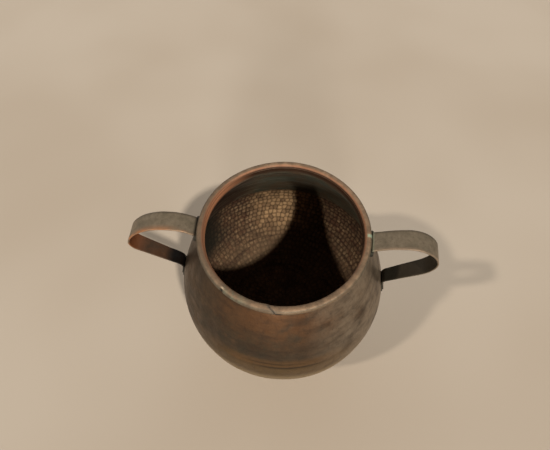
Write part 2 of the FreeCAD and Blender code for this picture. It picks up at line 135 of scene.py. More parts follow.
def wavy(azimuth, along, cells, size, seed):
    """Smooth noise from -1 to 1 that closes on itself round the pot, with this many cells round it and
    features of this size along the other direction."""
    table = np.random.default_rng(seed).uniform(-1, 1, (NOISE_ROWS, cells))
    u = np.mod(azimuth / (2 * np.pi), 1) * cells
    v = along / size + 100
    column, row = np.floor(u).astype(int), np.floor(v).astype(int)
    a, b = u - column, v - row
    a, b = a * a * (3 - 2 * a), b * b * (3 - 2 * b)
    near, far = column % cells, (column + 1) % cells
    low, high = row % NOISE_ROWS, (row + 1) % NOISE_ROWS
    bottom = table[low, near] * (1 - a) + table[low, far] * a
    top = table[high, near] * (1 - a) + table[high, far] * a
    return bottom * (1 - b) + top * b


def smooth_step(value, start, end):
    """0 up to start, 1 from end on, and smooth in between."""
    t = np.clip((value - start) / (end - start), 0, 1)
    return t * t * (3 - 2 * t)


def bell(distance, width):
    """1 at no distance, about 0.4 at this width and almost nothing at twice the width."""
    return np.exp(-(distance / width) ** 2)


def hammer_marks(along, azimuth, radius, row_radius, pitch, spacing, seed):
    """Rows of hammer marks round the pot, pitch apart, with marks this spacing apart in a row. For each
    point: distance from its mark's middle and to the border with the next mark, as shares of the spacing,
    and a tone from 0 to 1 that belongs to the mark."""
    rng = np.random.default_rng(seed)
    rows = len(row_radius)
    counts = np.maximum(5, np.round(2 * np.pi * row_radius / spacing)).astype(int)
    phases = rng.uniform(0, 1, rows)
    jitter = rng.uniform(-1, 1, (rows, counts.max(), 3))
    first = np.full(along.shape, 9.0)
    second = np.full(along.shape, 9.0)
    tone = np.zeros(along.shape)
    home = np.floor(along / pitch).astype(int)
    for row_step in (-1, 0, 1):
        row = np.clip(home + row_step, 0, rows - 1)
        count = counts[row]
        place = azimuth / (2 * np.pi) * count - phases[row]
        for mark_step in (-1, 0, 1):
            mark = np.floor(place).astype(int) + mark_step
            shift = jitter[row, mark % count]
            across = (place - mark - 0.5 - STRAY_ALONG * shift[..., 0]) / count * 2 * np.pi * radius / spacing
            up = along / pitch - (row + 0.5 + STRAY_ACROSS * shift[..., 1])
            distance = np.hypot(across, up * MARK_SQUASH)
            closer = distance < first
            second = np.where(closer, first, np.minimum(second, distance))
            tone = np.where(closer, shift[..., 2] * 0.5 + 0.5, tone)
            first = np.where(closer, distance, first)
    return first, second - first, tone


# ---------------------------------------------------------------- the shell's section

def arc_points(centre, radius, start, end, step):
    """Points about a step apart along an arc, up to but without its end."""
    count = max(2, int(math.ceil(abs(end - start) * radius / step)))
    angles = np.linspace(start, end, count, endpoint=False)
    return np.stack([centre[0] + radius * np.cos(angles), centre[1] + radius * np.sin(angles)], 1)


def line_points(start, end, step):
    """Points about a step apart along a straight line, up to but without its end."""
    count = max(1, int(math.ceil(math.dist(start, end) / step)))
    share = np.linspace(0, 1, count, endpoint=False)[:, None]
    return np.array(start) * (1 - share) + np.array(end) * share


BELLY_CENTRE = (BELLY_RADIUS - BELLY_ARC, BELLY_HEIGHT)
SHOULDER_CENTRE = (BELLY_CENTRE[0] - (SHOULDER_ARC - BELLY_ARC) * math.cos(SHOULDER_TURN),
                   BELLY_CENTRE[1] - (SHOULDER_ARC - BELLY_ARC) * math.sin(SHOULDER_TURN))
BASE_RISE = BELLY_HEIGHT - BASE_ARC
BASE_RUN = math.sqrt((BELLY_ARC - BASE_ARC) ** 2 - BASE_RISE ** 2)
BASE_CENTRE = (BELLY_CENTRE[0] + BASE_RUN, BASE_ARC)
BASE_TURN = -math.atan2(BASE_RISE, BASE_RUN)
NECK_TURN = math.acos((NECK_RADIUS + NECK_ARC - SHOULDER_CENTRE[0]) / (SHOULDER_ARC + NECK_ARC))
NECK_CENTRE = (NECK_RADIUS + NECK_ARC,
               SHOULDER_CENTRE[1] + (SHOULDER_ARC + NECK_ARC) * math.sin(NECK_TURN))
ROLL_MIDDLE = (ROLL_CENTRE, RIM_HEIGHT)
POLE_RADIUS = 1.5 * MM


def wall_points(inset, step):
    """The wall's curve from the middle of the bottom up to the rim's height."""
    pieces = [
        line_points((POLE_RADIUS, inset), (BASE_CENTRE[0], inset), step),
        arc_points(BASE_CENTRE, BASE_ARC - inset, -math.pi / 2, BASE_TURN, step),
        arc_points(BELLY_CENTRE, BELLY_ARC - inset, BASE_TURN, SHOULDER_TURN, step),
        arc_points(SHOULDER_CENTRE, SHOULDER_ARC - inset, SHOULDER_TURN, NECK_TURN, step),
        arc_points(NECK_CENTRE, NECK_ARC + inset, math.pi + NECK_TURN, math.pi, step / 2),
        line_points((NECK_RADIUS - inset, NECK_CENTRE[1]), (NECK_RADIUS - inset, RIM_HEIGHT), step / 2),
    ]
    return np.concatenate(pieces)


# The faces of the sheet in the order of its section, and the material slot of each.
OUTSIDE, LINING, EDGE, ROLL, INSIDE = range(5)
OUTSIDE_SLOT, RIM_SLOT, INSIDE_SLOT = range(3)
SLOT_OF = {OUTSIDE: OUTSIDE_SLOT, LINING: RIM_SLOT, EDGE: RIM_SLOT, ROLL: RIM_SLOT, INSIDE: INSIDE_SLOT}


def shell_section():
    """Points of the sheet's section, from the middle of the underside round the rim to the middle of the
    inside, and which face of the sheet each point is on."""
    roll_step = 0.6 * MM
    outside = wall_points(0, 2.2 * MM)
    inside = wall_points(GAUGE, 1.45 * MM)[::-1]
    lining = arc_points(ROLL_MIDDLE, ROLL_RADIUS - GAUGE, math.pi, CURL_ANGLE, roll_step)
    curl_end = np.array([[math.cos(CURL_ANGLE), math.sin(CURL_ANGLE)]])
    hidden = np.array(ROLL_MIDDLE) + (ROLL_RADIUS - GAUGE) * curl_end
    roll = arc_points(ROLL_MIDDLE, ROLL_RADIUS, CURL_ANGLE, math.pi, roll_step)
    top = np.array([[NECK_RADIUS - GAUGE, RIM_HEIGHT]])
    parts = [(outside, OUTSIDE), (lining, LINING), (hidden, EDGE),
             (roll, ROLL), (top, ROLL), (inside, INSIDE)]
    points = np.concatenate([part for part, _ in parts])
    faces = np.concatenate([np.full(len(part), face) for part, face in parts])
    return points, faces


def section_normals(points):
    """At each point, the direction that faces out of the sheet."""
    ahead = np.roll(points, -1, 0) - np.roll(points, 1, 0)
    ahead[0] = points[1] - points[0]
    ahead[-1] = points[-1] - points[-2]
    ahead /= np.maximum(np.linalg.norm(ahead, axis=1), 1e-9)[:, None]
    return np.stack([ahead[:, 1], -ahead[:, 0]], 1)


def shell_azimuths():
    """Columns round the pot, closer together beside the seam and the nick."""
    columns = list(np.linspace(-math.pi, math.pi, AROUND_COLUMNS, endpoint=False))
    for place in (SEAM, NICK):
        columns += list(place + np.linspace(-3.6, 3.6, 25) * MM / RIM_RADIUS)
    columns = np.unique(np.round(np.array(columns), 6))
    keep = np.concatenate([[True], np.diff(columns) > 0.12 * MM / RIM_RADIUS])
    return columns[keep]


def arc_gap(azimuth, place):
    """Signed distance round the rim from a place, in metres."""
    return (np.mod(azimuth - place + np.pi, 2 * np.pi) - np.pi) * RIM_RADIUS


def build_mesh(name, positions, faces, attributes, materials, face_materials):
    """A smooth object with one value of each attribute at every point."""
    mesh = bpy.data.meshes.new(name)
    mesh.from_pydata(positions.tolist(), [], faces)
    for material in materials:
        mesh.materials.append(material)
    mesh.polygons.foreach_set("material_index", np.array(face_materials, dtype=np.int32))
    mesh.polygons.foreach_set("use_smooth", np.ones(len(faces), dtype=bool))
    for key, values in attributes.items():
        layer = mesh.attributes.new(key, "FLOAT", "POINT")
        layer.data.foreach_set("value", np.asarray(values, dtype=np.float32).ravel())
    mesh.update()
    thing = bpy.data.objects.new(name, mesh)
    bpy.context.scene.collection.objects.link(thing)
    return thing


class Skin:
    """The sheet's surface as a grid: a row for each point of its section, a column for each azimuth."""

    def __init__(self):
        self.section, self.face_of = shell_section()
        self.normals = section_normals(self.section)
        self.azimuths = shell_azimuths()
        self.rows, self.columns = len(self.section), len(self.azimuths)
        self.azimuth = np.tile(self.azimuths, (self.rows, 1))
        self.radius = np.tile(self.section[:, :1], (1, self.columns))
        self.height = np.tile(self.section[:, 1:], (1, self.columns))
        face = np.tile(self.face_of[:, None], (1, self.columns))
        self.on_outside, self.on_inside, self.on_roll = face == OUTSIDE, face == INSIDE, face == ROLL
        self.in_curl = self.on_roll | (face == LINING) | (face == EDGE)
        self.on_base = (self.radius < BASE_CENTRE[0]) & (self.height < BASE_ARC)
        self.turn = np.arctan2(self.height - RIM_HEIGHT, self.radius - ROLL_CENTRE)
        self.beside_seam = arc_gap(self.azimuth, SEAM)
        self.beside_nick = arc_gap(self.azimuth, NICK)
        strap_gaps = [np.abs(arc_gap(self.azimuth, math.radians(strap["azimuth"])))
                      for strap in STRAPS.values()]
        self.clear_of_straps = smooth_step(np.minimum(*strap_gaps), 9 * MM, 24 * MM)

    def marks(self, pitch, spacing, seed):
        """Hammer marks in rows that follow one another along the section."""
        steps = np.concatenate([[0], np.cumsum(np.linalg.norm(np.diff(self.section, axis=0), axis=1))])
        along = np.tile(steps[:, None], (1, self.columns))
        middles = (np.arange(int(steps[-1] / pitch) + 1) + 0.5) * pitch
        row_radius = np.interp(middles, steps, self.section[:, 0])
        return hammer_marks(along, self.azimuth, self.radius, row_radius, pitch, spacing, seed)

    def point(self, row, column):
        """The number of a grid point. The last column is followed by the first."""
        return row * self.columns + column % self.columns

    def quad(self, row, next_row, column):
        """The face between two rows, from this column to the next one."""
        return (self.point(row, column), self.point(row, column + 1),
                self.point(next_row, column + 1), self.point(next_row, column))


def wall_waves(skin):
    """Slow waves in the wall. One measure up the wall serves both faces of the sheet, so that they match."""
    belly_turn = np.arctan2(skin.height - BELLY_HEIGHT, np.maximum(skin.radius - BELLY_CENTRE[0], 0.1 * MM))
    up_wall = np.where(skin.height < BELLY_HEIGHT, belly_turn * BELLY_ARC, skin.height - BELLY_HEIGHT)
    up_wall = np.where(skin.on_base, BASE_TURN * BELLY_ARC - BASE_CENTRE[0] + skin.radius, up_wall)
    waves = 0.35 * MM * wavy(skin.azimuth, up_wall, cells=15, size=46 * MM, seed=3)
    waves += 0.14 * MM * wavy(skin.azimuth, up_wall, cells=44, size=17 * MM, seed=4)
    below_rim = 1 - smooth_step(skin.height, 0.9 * RIM_HEIGHT, RIM_HEIGHT)
    waves *= smooth_step(skin.radius, 20 * MM, 60 * MM) * below_rim
    waves *= np.where(skin.height > 0.55 * RIM_HEIGHT, 0.15 + 0.85 * skin.clear_of_straps, 1)
    return waves


def inside_relief(skin, middle, groove, tone):
    """Close hammer marks, and above them a smooth band that stands a little proud where it meets them."""
    pillow = 1 - np.clip(middle / 0.6, 0, 1) ** 2
    hammered = smooth_step(HAMMER_TOP - skin.height, -1.5 * MM, 1.5 * MM)
    relief = hammered * (0.30 * MM * pillow - 0.22 * MM * groove + 0.1 * MM * (tone - 0.5))
    relief += 0.5 * MM * (1 - hammered) * smooth_step(HAMMER_TOP + 30 * MM - skin.height, 0, 25 * MM)
    relief *= smooth_step(RIM_HEIGHT - skin.height, 4 * MM, 11 * MM)
    return relief


def scored_rings(skin):
    """1 along the lines of the scored rings and 0 away from them."""
    ring = np.zeros_like(skin.azimuth)
    for score in SCORED_RINGS:
        from_middle = skin.azimuth - math.radians(score["middle"])
        reach = np.exp(-(from_middle / math.radians(score["reach"])) ** 4)
        wander = 0.8 * MM * wavy(skin.azimuth, score["height"], cells=24, size=1.0, seed=8)
        line = bell(skin.height - score["height"] - wander, 1.5 * MM)
        ring = np.maximum(ring, score["strength"] * reach * line * skin.on_outside)
    return ring


def roll_relief(skin):
    """A top dressed flat, small dents, a step where the roll's ends overlap and a nick in the outer lip."""
    top = bell(skin.turn - math.pi / 2, 0.75)
    dents = 0.05 * MM * wavy(skin.azimuth, skin.turn, cells=70, size=0.9, seed=21)
    dents = dents + 0.16 * MM * wavy(skin.azimuth, skin.turn, cells=26, size=1.3, seed=22)
    overlap = 0.45 * MM * smooth_step(skin.beside_seam, -16 * MM, -1 * MM) * (skin.beside_seam < 0)
    relief = dents - 0.4 * MM * top + overlap * bell(skin.turn - 2.4, 0.8)
    nick_depth = 1.9 * MM * bell(skin.beside_nick, 1.4 * MM) * bell(skin.turn - 0.25, 0.5)
    lifted = 0.6 * MM * bell(skin.beside_nick, 1.8 * MM) * bell(skin.turn - 1.2, 0.3)
    return relief - nick_depth + lifted


def shell_points(skin, shift):
    """The grid's points, moved out of the sheet by shift, and then the two poles."""
    # The whole mouth wanders a little from a true circle.
    wander = smooth_step(skin.height, 0.75 * RIM_HEIGHT, RIM_HEIGHT) * (0.1 + 0.9 * skin.clear_of_straps)
    radius_shift = 0.45 * MM * wavy(skin.azimuth, skin.height, cells=7, size=1.0, seed=31) * wander
    height_shift = 0.35 * MM * wavy(skin.azimuth, skin.height, cells=9, size=1.0, seed=32) * wander

    # The seam runs aslant over the roll, from its inner edge to the outer lip.
    slant = -5 * MM + 6.5 * MM * np.where(skin.in_curl, smooth_step(skin.turn, 2.3, 0.2), 0)
    near_rim = smooth_step(skin.height, RIM_HEIGHT - 15 * MM, RIM_HEIGHT - 5 * MM)
    slant *= bell(skin.beside_seam, 11 * MM) * near_rim

    azimuth = skin.azimuth + slant / RIM_RADIUS
    radius = skin.radius + shift * skin.normals[:, :1] + radius_shift
    height = np.maximum(skin.height + shift * skin.normals[:, 1:] + height_shift, 0)
    grid = np.stack([radius * np.cos(azimuth), radius * np.sin(azimuth), height], -1)
    poles = np.array([[0, 0, 0], [0, 0, GAUGE]])
    return np.concatenate([grid.reshape(-1, 3), poles])


def slit_bounds(skin):
    """The seam's slit: its rows on the curl's lining and on the roll, and its first and last columns."""
    def row_at_slit(face):
        face_rows = np.flatnonzero(skin.face_of == face)
        up, out = skin.section[face_rows, 1] - RIM_HEIGHT, skin.section[face_rows, 0] - ROLL_CENTRE
        return int(face_rows[np.argmin(np.abs(np.unwrap(np.arctan2(up, out)) - SLIT_TURN))])

    seam_columns = np.flatnonzero(np.abs(arc_gap(skin.azimuths, SEAM)) < SEAM_WIDTH / 2)
    return row_at_slit(LINING), row_at_slit(ROLL), int(seam_columns[0]), int(seam_columns[-1])


def shell_faces(skin):
    """Every face of the shell, as pairs of its points and its material slot."""
    lining_cut, roll_cut, seam_first, seam_last = slit_bounds(skin)
    faces = []
    for row in range(skin.rows - 1):
        slot = SLOT_OF[int(skin.face_of[row])]
        for column in range(skin.columns):
            if lining_cut <= row < roll_cut and seam_first <= column < seam_last:
                continue
            faces.append((skin.quad(row, row + 1, column), slot))

    # The two cut ends of the curled sheet, and the short step at the slit's inner end.
    curled = list(range(lining_cut, roll_cut + 1))
    for column, order in ((seam_first, curled[::-1]), (seam_last, curled)):
        faces.append((tuple(skin.point(row, column) for row in order), RIM_SLOT))
    for column in range(seam_first, seam_last):
        faces.append((skin.quad(lining_cut, roll_cut, column), RIM_SLOT))

    last = skin.rows - 1
    under_pole, inside_pole = skin.rows * skin.columns, skin.rows * skin.columns + 1
    for column in range(skin.columns):
        faces.append(((under_pole, skin.point(0, column + 1), skin.point(0, column)), OUTSIDE_SLOT))
        faces.append(((inside_pole, skin.point(last, column), skin.point(last, column + 1)), INSIDE_SLOT))
    return faces


def build_shell(materials):
    """The hammered sheet with its curled rim. The attributes tell the materials where they are."""
    skin = Skin()
    waves = wall_waves(skin)
    ring = scored_rings(skin)
    middle, border, tone = skin.marks(**INSIDE_MARKS)
    groove = bell(border, 0.22)
    broad_middle, broad_border, broad_tone = skin.marks(**OUTSIDE_MARKS)
    outside_marks = 0.05 * MM * (1 - np.clip(broad_middle / 0.7, 0, 1) ** 2) + 0.03 * MM * (broad_tone - 0.5)

    shift = np.where(skin.on_outside, waves + outside_marks - 0.35 * MM * ring, 0)
    shift = np.where(skin.on_inside, -waves + inside_relief(skin, middle, groove, tone), shift)
    shift = np.where(skin.on_roll, roll_relief(skin), shift)
    neck = smooth_step(skin.height, 0.955 * RIM_HEIGHT, RIM_HEIGHT)
    shift = shift * np.where(skin.on_outside, 1 - neck, 1.0)
    shift = shift * np.where(skin.on_base, smooth_step(skin.radius, 2 * MM, 12 * MM), 1)

    attributes = {
        "tone": np.where(skin.on_inside, tone, broad_tone),
        "groove": np.where(skin.on_inside, groove, bell(broad_border, 0.16)),
        "turn": np.where(skin.on_roll, skin.turn, 0),
        "depth": RIM_HEIGHT - skin.height,
        "pit": np.where(skin.on_inside, np.clip(1 - middle / 0.62, 0, 1) ** 0.7, 0),
        "ring": ring,
        "seam": bell(skin.beside_seam, 2.2 * MM),
        "nick": bell(skin.beside_nick, 1.6 * MM),
    }
    at_poles = [0.0, 0.0]
    attributes = {key: np.append(values, at_poles) for key, values in attributes.items()}
    corners, slots = zip(*shell_faces(skin))
    return build_mesh("bowl_shell", shell_points(skin, shift), corners, attributes, materials, slots)


# ---------------------------------------------------------------- strap handles

def strap_centreline(shape):
    """The strap's middle line in its upright plane, as (distance from the pot's axis, height) points about
    1.2 mm apart: a crest that rises from the rim, the outer bow, a straight arm, the heel bend and the
    flat foot."""
    size = {key: value * MM for key, value in shape.items()}
    rise = math.radians(shape["rise"])
    step = 1.2 * MM
    start = (RIM_RADIUS + STRAP_GAP + STRAP_GAUGE / 2 * math.sin(rise), RIM_HEIGHT + size["drop"])
    crest_centre = (start[0] + size["crest"] * math.sin(rise), start[1] - size["crest"] * math.cos(rise))
    bow_run = size["reach"] - size["bow"] - crest_centre[0]
    bow_centre = (size["reach"] - size["bow"],
                  crest_centre[1] + math.sqrt((size["crest"] - size["bow"]) ** 2 - bow_run ** 2))
    crest_end = math.atan2(bow_centre[1] - crest_centre[1], bow_run)
    offset = SHOULDER_ARC + STRAP_GAP + STRAP_GAUGE / 2
    lean = math.asin((size["foot"] - FOOT_LENGTH / 2 - SHOULDER_CENTRE[1]) / SHOULDER_ARC)
    foot = (SHOULDER_CENTRE[0] + offset * math.cos(lean) - FOOT_LENGTH / 2 * math.sin(lean),
            SHOULDER_CENTRE[1] + offset * math.sin(lean) + FOOT_LENGTH / 2 * math.cos(lean))
    heel_centre = (foot[0] + size["heel"] * math.cos(lean), foot[1] + size["heel"] * math.sin(lean))
    apart = (heel_centre[0] - bow_centre[0], heel_centre[1] - bow_centre[1])
    arm_length = math.sqrt(math.hypot(*apart) ** 2 - (size["bow"] + size["heel"]) ** 2)
    arm = math.atan2(apart[1], apart[0]) - math.atan2(size["bow"] + size["heel"], arm_length)
    while arm > 0:
        arm -= 2 * math.pi
    bow_end = arm + math.pi / 2
    arm_start = (bow_centre[0] + size["bow"] * math.cos(bow_end),
                 bow_centre[1] + size["bow"] * math.sin(bow_end))
    arm_end = (arm_start[0] + arm_length * math.cos(arm), arm_start[1] + arm_length * math.sin(arm))
    heel_start, heel_end = arm - math.pi / 2, lean + math.pi
    while heel_end < heel_start:
        heel_end += 2 * math.pi
    heel_end = heel_start + math.fmod(heel_end - heel_start, 2 * math.pi)
    foot_end = (foot[0] + FOOT_LENGTH * math.sin(lean), foot[1] - FOOT_LENGTH * math.cos(lean))
    return np.concatenate([
        arc_points(crest_centre, size["crest"], rise + math.pi / 2, crest_end, step),
        arc_points(bow_centre, size["bow"], crest_end, bow_end, step),
        line_points(arm_start, arm_end, step),
        arc_points(heel_centre, size["heel"], heel_start, heel_end, step / 2),
        line_points(foot, foot_end, step),
        [foot_end],
    ])


def strap_outline():
    """The strap's section, as (across, through) points: across is a share of half the width, which changes
    along the strap, and through is in metres."""
    corner = 0.06
    flat_points = 17
    half_gauge = STRAP_GAUGE / 2
    flat = np.linspace(-1, 1, flat_points)
    bend = np.radians(np.linspace(90, -90, 7)[1:-1])
    top = np.stack([flat * (1 - corner), np.full(flat_points, half_gauge)], 1)
    side = np.stack([1 - corner + corner * np.cos(bend), half_gauge * np.sin(bend)], 1)
    return np.concatenate([top, side, -top, -side])


def bar_faces(sections, ring):
    """The faces along a bar with this many sections of ring points each, and its two ends."""
    faces = []
    for row in range(sections - 1):
        for place in range(ring):
            here, there = row * ring + place, row * ring + (place + 1) % ring
            faces.append((here, there, there + ring, here + ring))
    last = (sections - 1) * ring
    faces.append(tuple(range(ring))[::-1])
    faces.append(tuple(range(last, last + ring)))
    return faces


def build_strap(name, shape, material):
    """A hand-forged strap: a flat bar with rounded long edges, bent along its middle line."""
    line = strap_centreline(shape)
    travel = np.gradient(line, axis=0)
    travel /= np.linalg.norm(travel, axis=1)[:, None]
    outward = np.stack([-travel[:, 1], travel[:, 0]], 1)
    length = np.concatenate([[0], np.cumsum(np.linalg.norm(np.diff(line, axis=0), axis=1))])
    azimuth = math.radians(shape["azimuth"])
    away = np.array([math.cos(azimuth), math.sin(azimuth)])
    aside = np.array([-away[1], away[0]])

    outline = strap_outline()
    ring = len(outline)
    half_width = np.interp(line[:, 1], [TAPER_BOTTOM, TAPER_TOP], [FOOT_WIDTH / 2, STRAP_WIDTH / 2])[:, None]
    across = outline[:, 0] * half_width
    through = np.tile(outline[:, 1], (len(line), 1))
    along = np.tile(length[:, None], (1, ring))

    # Forging: a flare at the rim, an uneven width, a sway, and dents that differ on the strap's two faces.
    seed = STRAP_SEED + int(shape["foot"])
    flare = 1 + 0.05 * bell(along, 7 * MM)
    flare = flare + 0.012 * wavy(across * 0, along, cells=4, size=15 * MM, seed=seed)
    free = smooth_step(along, 0, 12 * MM) * smooth_step(length[-1] - along, 4 * MM, 20 * MM)
    sway = 0.25 * MM * wavy(across * 0, along, cells=4, size=21 * MM, seed=seed + 1) * free
    face = np.sign(through)
    dents = 0.12 * MM * wavy(across * 90, along + 0.4 * face, cells=9, size=7 * MM, seed=seed + 2)
    dents += 0.05 * MM * wavy(across * 90, along + 0.4 * face, cells=31, size=2.5 * MM, seed=seed + 3)
    lift = 0.3 * MM * wavy(across * 0, along, cells=4, size=34 * MM, seed=seed + 4) * free
    across_moved = across * flare + sway
    through_moved = through + face * dents * free + lift
    distance = line[:, 0][:, None] + through_moved * outward[:, 0][:, None]
    height = line[:, 1][:, None] + through_moved * outward[:, 1][:, None]
    positions = np.stack([distance * away[0] + across_moved * aside[0],
                          distance * away[1] + across_moved * aside[1], height], -1).reshape(-1, 3)

    faces = bar_faces(len(line), ring)
    attributes = {
        "edge": smooth_step(np.abs(across), half_width - 3.0 * MM, half_width - 0.8 * MM),
        "inner": smooth_step(-through, 0, STRAP_GAUGE / 2),
        "along": along / length[-1],
        "front": np.broadcast_to(-aside[1] * outline[:, 0], across.shape),
    }
    return build_mesh(name, positions, faces, attributes, [material], [0] * len(faces))


# ---------------------------------------------------------------- materials

def colour(red, green, blue):
    """A display colour, 0 to 255, as the linear value that Blender uses."""
    def linear(value):
        value /= 255
        return value / 12.92 if value <= 0.04045 else ((value + 0.055) / 1.055) ** 2.4
    return (linear(red), linear(green), linear(blue), 1.0)


# Places of the colours among the sockets of a colour mix node.
MIX_FIRST, MIX_SECOND, MIX_RESULT = 6, 7, 2


class Finish:
    """One procedural material, built node by node. Every call returns the new node's output."""

    def __init__(self, name):
        self.material = bpy.data.materials.new(name)
        self.material.use_nodes = True
        self.nodes = self.material.node_tree.nodes
        self.links = self.material.node_tree.links
        self.shader = self.nodes["Principled BSDF"]
        self.place = self.nodes.new("ShaderNodeTexCoord").outputs["Object"]

    def feed(self, socket, value):
        if isinstance(value, bpy.types.NodeSocket):
            self.links.new(value, socket)
        else:
            socket.default_value = value

    def sum(self, operation, *values):
        node = self.nodes.new("ShaderNodeMath")
        node.operation = operation
        for socket, value in zip(node.inputs, values):
            self.feed(socket, value)
        return node.outputs[0]

    def attribute(self, name):
        node = self.nodes.new("ShaderNodeAttribute")
        node.attribute_name = name
        return node.outputs["Fac"]

    def span(self, value, start, end, low=0.0, high=1.0):
        """low below start, high above end, and smooth in between."""
        node = self.nodes.new("ShaderNodeMapRange")
        node.interpolation_type = "SMOOTHSTEP"
        for socket, item in zip(node.inputs, (value, start, end, low, high)):
            self.feed(socket, item)
        return node.outputs[0]

    def noise(self, size, detail=3.0, roughness=0.55, stretch=(1, 1, 1), contrast=None):
        """Noise with features about this size in metres. contrast gives its low and high cuts."""
        mapping = self.nodes.new("ShaderNodeMapping")
        mapping.inputs["Scale"].default_value = stretch
        self.links.new(self.place, mapping.inputs["Vector"])
        node = self.nodes.new("ShaderNodeTexNoise")
        self.links.new(mapping.outputs[0], node.inputs["Vector"])
        node.inputs["Scale"].default_value = 1 / size
        node.inputs["Detail"].default_value = detail
        node.inputs["Roughness"].default_value = roughness
        value = node.outputs[0]
        return self.span(value, *contrast) if contrast else value

    def axis(self, letter):
        node = self.nodes.new("ShaderNodeSeparateXYZ")
        self.links.new(self.place, node.inputs[0])
        return node.outputs[letter]

    def facing(self, azimuth, half_width):
        """1 where the pot's outside faces this azimuth, 0 beyond the half width, both in degrees."""
        flat = self.nodes.new("ShaderNodeVectorMath")
        flat.operation = "MULTIPLY"
        self.links.new(self.place, flat.inputs[0])
        flat.inputs[1].default_value = (1, 1, 0)
        unit = self.nodes.new("ShaderNodeVectorMath")
        unit.operation = "NORMALIZE"
        self.links.new(flat.outputs[0], unit.inputs[0])
        dot = self.nodes.new("ShaderNodeVectorMath")
        dot.operation = "DOT_PRODUCT"
        self.links.new(unit.outputs[0], dot.inputs[0])
        turn = math.radians(azimuth)
        dot.inputs[1].default_value = (math.cos(turn), math.sin(turn), 0)
        return self.span(dot.outputs["Value"], math.cos(math.radians(half_width)), 1.0)

    def mix(self, share, first, second):
        node = self.nodes.new("ShaderNodeMix")
        node.data_type = "RGBA"
        self.feed(node.inputs[0], share)
        self.feed(node.inputs[MIX_FIRST], first)
        self.feed(node.inputs[MIX_SECOND], second)
        return node.outputs[MIX_RESULT]

    def times(self, *values):
        result = values[0]
        for value in values[1:]:
            result = self.sum("MULTIPLY", result, value)
        return result

    def bumps(self, *layers):
        """Fine relief: (height value, depth in metres) layers."""
        normal = None
        for height, depth in layers:
            node = self.nodes.new("ShaderNodeBump")
            node.inputs["Strength"].default_value = 1.0
            node.inputs["Distance"].default_value = depth
            self.links.new(height, node.inputs["Height"])
            if normal:
                self.links.new(normal, node.inputs["Normal"])
            normal = node.outputs[0]
        self.links.new(normal, self.shader.inputs["Normal"])

    def set(self, **values):
        names = {"base": "Base Color", "metallic": "Metallic", "roughness": "Roughness",
                 "specular": "Specular IOR Level"}
        for key, value in values.items():
            self.feed(self.shader.inputs[names[key]], value)
        return self.material


def outside_copper():
    """Brown satin copper: warmer under the front of the rim, olive at the front left, paler at the right,
    golden between the scored rings, with a painted reflection of the floor along the bottom of the front and
    a painted shadow just under the roll."""
    paint = Finish("outside_copper")
    height = paint.axis("Z")
    cloud = paint.noise(30 * MM, 4, contrast=(0.35, 0.65))
    mottle = paint.noise(9 * MM, 5, 0.65, contrast=(0.35, 0.68))
    fleck = paint.noise(2.6 * MM, 4, 0.7, contrast=(0.58, 0.70))
    smear = paint.noise(26 * MM, 4, 0.6, stretch=(1, 1, 4), contrast=(0.45, 0.65))
    base = paint.mix(cloud, colour(84, 64, 44), colour(66, 51, 36))
    base = paint.mix(paint.times(mottle, 0.5), base, colour(58, 50, 38))
    warm = paint.times(paint.facing(-88, 62), paint.span(height, 142 * MM, 188 * MM))
    warm = paint.times(warm, paint.noise(16 * MM, 3, contrast=(0.2, 0.5)))
    base = paint.mix(paint.times(warm, 0.75), base, colour(100, 66, 38))
    olive = paint.times(paint.facing(-118, 40), paint.span(height, 190 * MM, 150 * MM), mottle)
    base = paint.mix(paint.times(olive, 0.6), base, colour(60, 54, 39))
    steel = paint.times(paint.facing(-32, 50), paint.noise(24 * MM, 4, contrast=(0.25, 0.58)))
    base = paint.mix(paint.times(steel, 0.8), base, colour(136, 119, 98))
    base = paint.mix(paint.times(smear, 0.4), base, colour(50, 38, 27))
    low = paint.times(paint.facing(-92, 60), paint.span(height, 140 * MM, 120 * MM))
    base = paint.mix(paint.times(low, 0.5), base, colour(112, 86, 50))
    # Painted reflection of the floor: a paler band along the bottom of the front.
    edge = paint.times(paint.facing(-92, 75), paint.span(height, 112 * MM, 98 * MM))
    base = paint.mix(paint.times(edge, 0.8), base, colour(140, 118, 86))
    above_first = paint.span(height, 124 * MM, 128 * MM)
    between_rings = paint.times(above_first, paint.span(height, 142 * MM, 134 * MM))
    golden = paint.times(paint.facing(-95, 40), between_rings)
    base = paint.mix(paint.times(golden, 0.5), base, colour(112, 78, 40))
    base = paint.mix(paint.times(paint.attribute("ring"), 0.85), base, colour(26, 18, 10))
    base = paint.mix(paint.times(fleck, 0.5), base, colour(36, 28, 22))
    base = paint.mix(paint.times(paint.attribute("groove"), 0.16), base, colour(42, 32, 24))
    # Painted shadow just under the roll.
    base = paint.mix(paint.times(paint.span(height, 197.5 * MM, 200.5 * MM), 0.7), base, colour(34, 23, 15))
    tone = paint.span(paint.attribute("tone"), 0.0, 1.0, 0.42, 0.50)
    roughness = paint.sum("ADD", tone, paint.times(mottle, 0.08))
    paint.bumps((paint.noise(1.6 * MM, 4, 0.6), 0.06 * MM), (paint.noise(12 * MM, 2), 0.6 * MM))
    return paint.set(base=base, metallic=0.8, roughness=roughness)


